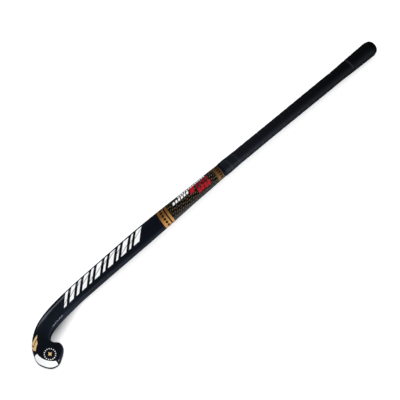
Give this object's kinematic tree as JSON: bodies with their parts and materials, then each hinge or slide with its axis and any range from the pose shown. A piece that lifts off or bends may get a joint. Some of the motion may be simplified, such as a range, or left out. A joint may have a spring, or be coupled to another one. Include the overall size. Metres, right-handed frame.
{
  "type": "field hockey stick",
  "caption": "Black composite field hockey stick: bowed shaft, curved hook head with a flat face and a rounded back, spiral-wound grip and domed butt cap.",
  "frame": {"origin": "under the middle of the bounding box, on the plane that the flat playing face rests on", "axes": "+X from the head to the butt, -Y the way the toe points, +Z out of the rounded back"},
  "size_m": [0.9525, 0.1074, 0.0397],
  "materials": {
    "lacquered_laminate": "high gloss black lacquer with gold bands and white, red and gold graphics",
    "aramid_ply": "yellow woven ply in clear resin",
    "carbon_ply": "black woven ply in clear resin",
    "head_foam": "cream structural foam",
    "carbon_tube": "moulded black carbon laminate",
    "damping_foam": "soft grey foam",
    "plug_foam": "white closed-cell foam",
    "cap_rubber": "matt black rubber",
    "collar_foam": "grey adhesive foam",
    "grip_ribbon": "matt black cushioned synthetic leather",
    "vinyl_tape": "semi-gloss black vinyl"
  },
  "bodies": {
    "root": {"laminate_skin": "lacquered_laminate", "face_ply": "aramid_ply", "heel_edge_ply": "carbon_ply", "crook_edge_ply": "carbon_ply", "back_ply": "carbon_ply", "head_core": "head_foam", "heel_side_tube": "carbon_tube", "toe_side_tube": "carbon_tube", "heel_side_damper": "damping_foam", "toe_side_damper": "damping_foam", "butt_plug": "plug_foam", "butt_cap": "cap_rubber", "knob_collar": "collar_foam", "grip_ribbon": "grip_ribbon", "finishing_tape": "vinyl_tape"}
  },
  "joints": []
}
